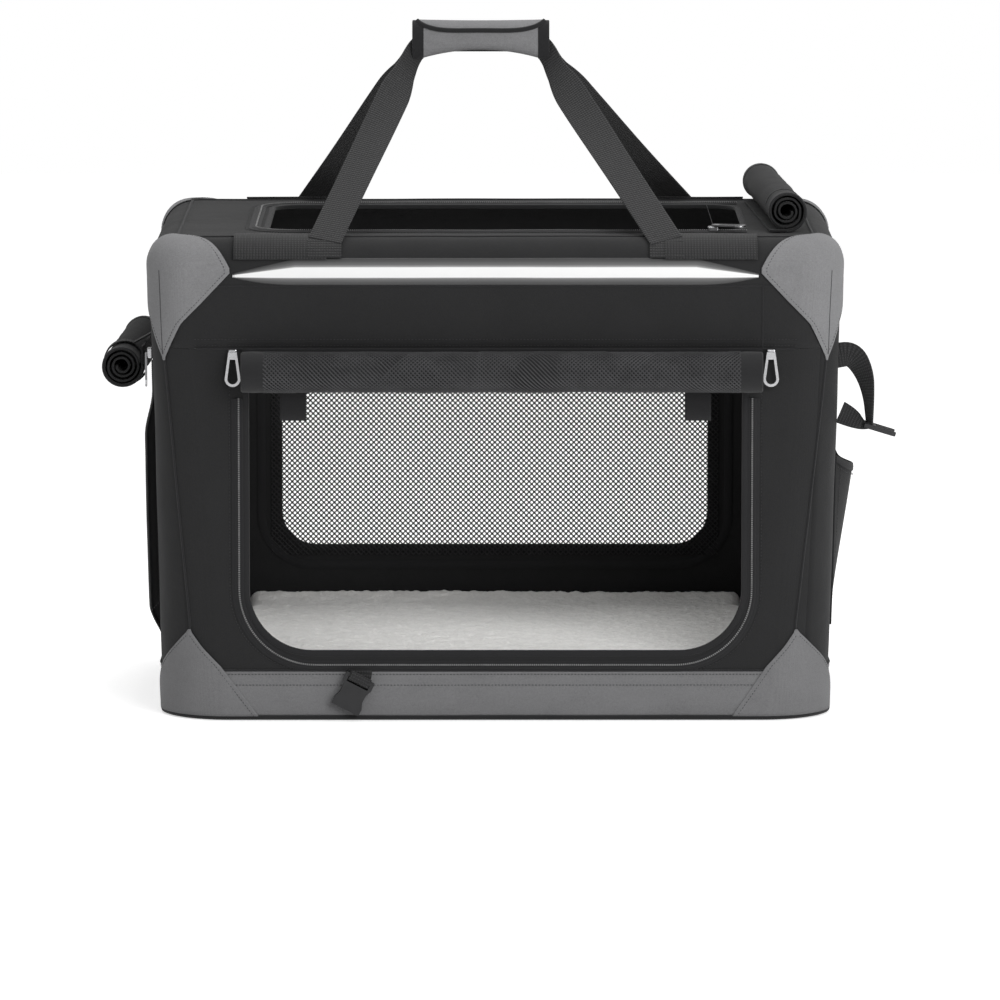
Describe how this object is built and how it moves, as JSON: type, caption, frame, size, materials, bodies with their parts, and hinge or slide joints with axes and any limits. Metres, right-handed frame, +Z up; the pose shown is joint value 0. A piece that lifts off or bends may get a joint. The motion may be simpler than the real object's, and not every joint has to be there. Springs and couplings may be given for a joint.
{
  "type": "folding dog crate",
  "caption": "Soft-sided dog crate of fabric over folding steel bows, with rolled doors, a back mesh window, a fleece pad and a carrying handle.",
  "frame": {"origin": "middle of the underside, on the floor", "axes": "+X to the right end with the side pocket, +Y to the back with the window, +Z up"},
  "size_m": [0.7538, 0.5036, 0.652],
  "materials": {
    "black_fabric": "matte woven polyester",
    "grey_fabric": "matte coarse weave",
    "webbing": "ribbed webbing",
    "fleece": "curly pile",
    "board": "matte",
    "steel": "satin tube",
    "chrome": "bright plated",
    "plastic": "moulded",
    "light_trim": "smooth light tape"
  },
  "bodies": {
    "base": {"base_panel": "black_fabric", "base_band": "grey_fabric", "base_frame": "steel", "floor_board": "board", "floor_pad": "fleece", "front_left_bottom_patch": "grey_fabric", "front_right_bottom_patch": "grey_fabric", "back_left_bottom_patch": "grey_fabric", "back_right_bottom_patch": "grey_fabric", "left_front_hinge_bracket": "steel", "left_back_hinge_bracket": "steel", "right_front_hinge_bracket": "steel", "right_back_hinge_bracket": "steel", "left_front_hinge_pin": "chrome", "left_back_hinge_pin": "chrome", "right_front_hinge_pin": "chrome", "right_back_hinge_pin": "chrome", "front_wall": "black_fabric", "front_header": "black_fabric", "front_edge_strip": "light_trim", "front_zip": "black_fabric", "front_door_roll": "black_fabric", "left_door_tab": "black_fabric", "right_door_tab": "black_fabric", "back_wall": "black_fabric", "back_window_net": "black_fabric", "buckle_loop": "webbing"},
    "left_end": {"left_end_frame": "steel", "left_end_wall": "black_fabric", "left_zip": "black_fabric", "left_door_roll": "black_fabric", "left_roll_strap": "webbing", "left_end_slider": "chrome", "front_left_top_patch": "grey_fabric", "back_left_top_patch": "grey_fabric"},
    "right_end": {"right_end_frame": "steel", "right_end_wall": "black_fabric", "right_pocket": "black_fabric", "front_right_top_patch": "grey_fabric", "back_right_top_patch": "grey_fabric"},
    "top": {"top_panel": "black_fabric", "top_zip": "black_fabric", "top_flap_roll": "black_fabric", "top_slider": "chrome", "front_left_edge_webbing": "webbing", "front_right_edge_webbing": "webbing", "back_left_edge_webbing": "webbing", "back_right_edge_webbing": "webbing"},
    "handle": {"front_handle_strap": "webbing", "back_handle_strap": "webbing", "grip_wrap": "grey_fabric"},
    "front_zip_ends": {"front_left_slider": "chrome", "front_right_slider": "chrome"},
    "front_left_pull": {"front_left_pull": "chrome"},
    "front_right_pull": {"front_right_pull": "chrome"},
    "left_end_pull": {"left_end_pull": "chrome"},
    "top_pull": {"top_pull": "chrome"},
    "closure": {"closure_strap": "webbing", "male_buckle": "plastic"},
    "female": {"female_buckle": "plastic"}
  },
  "joints": [
    {"name": "right_end_fold", "type": "hinge", "parent": "base", "child": "right_end", "pos_m": [0.268, 0, 0.052], "axis": [0, -1, 0], "range_deg": [0, 93], "deforming": ["front_wall", "front_header", "front_edge_strip", "front_zip", "front_door_roll", "left_door_tab", "right_door_tab", "back_wall", "back_window_net", "floor_pad", "front_left_bottom_patch", "front_right_bottom_patch", "back_left_bottom_patch", "back_right_bottom_patch", "left_end_wall", "left_zip", "left_door_roll", "left_roll_strap", "front_left_top_patch", "back_left_top_patch", "right_end_wall", "right_pocket", "front_right_top_patch", "back_right_top_patch", "top_panel", "top_zip", "top_flap_roll", "front_left_edge_webbing", "front_right_edge_webbing", "back_left_edge_webbing", "back_right_edge_webbing", "closure_strap", "front_handle_strap", "back_handle_strap"]},
    {"name": "left_end_fold", "type": "hinge", "parent": "base", "child": "left_end", "pos_m": [-0.268, 0, 0.036], "axis": [0, 1, 0], "range_deg": [0, 97.2]},
    {"name": "top_drop", "type": "slide", "parent": "base", "child": "top", "axis": [0, 0, -1], "range_m": [0, 0.3725]},
    {"name": "front_zip_drop", "type": "slide", "parent": "base", "child": "front_zip_ends", "axis": [0, 0, -1], "range_m": [0, 0.274]},
    {"name": "handle_drop", "type": "slide", "parent": "top", "child": "handle", "axis": [0, 0, -1], "range_m": [0, 0.13], "deforming": ["front_handle_strap", "back_handle_strap"]},
    {"name": "front_left_pull_swing", "type": "hinge", "parent": "front_zip_ends", "child": "front_left_pull", "pos_m": [-0.249, -0.2366, 0.3535], "axis": [-1, 0, 0], "range_deg": [0, 150]},
    {"name": "front_right_pull_swing", "type": "hinge", "parent": "front_zip_ends", "child": "front_right_pull", "pos_m": [0.261, -0.2366, 0.3535], "axis": [-1, 0, 0], "range_deg": [0, 150]},
    {"name": "left_end_pull_swing", "type": "hinge", "parent": "left_end", "child": "left_end_pull", "pos_m": [-0.33403, -0.1615, 0.3453], "axis": [0, 1, 0], "range_deg": [0, 150]},
    {"name": "top_pull_lift", "type": "hinge", "parent": "top", "child": "top_pull", "pos_m": [0.208, -0.15, 0.4666], "axis": [-0.3907, -0.9205, 0], "range_deg": [0, 150]},
    {"name": "closing_strap_swing", "type": "hinge", "parent": "right_end", "child": "closure", "pos_m": [0.3273, -0.188, 0.345], "axis": [0, -1, 0], "range_deg": [0, 100], "deforming": ["closure_strap"]},
    {"name": "female_buckle_swing", "type": "hinge", "parent": "base", "child": "female", "pos_m": [-0.128, -0.2365, 0.0425], "axis": [-0.891, 0, 0.454], "range_deg": [0, 110], "deforming": ["buckle_loop"]}
  ],
  "couplings": [
    {"joint": "left_end_fold", "follows": "right_end_fold", "ratio": 1.043},
    {"joint": "top_drop", "follows": "right_end_fold", "m_per_rad": 0.22918},
    {"joint": "front_zip_drop", "follows": "right_end_fold", "m_per_rad": 0.1685}
  ]
}
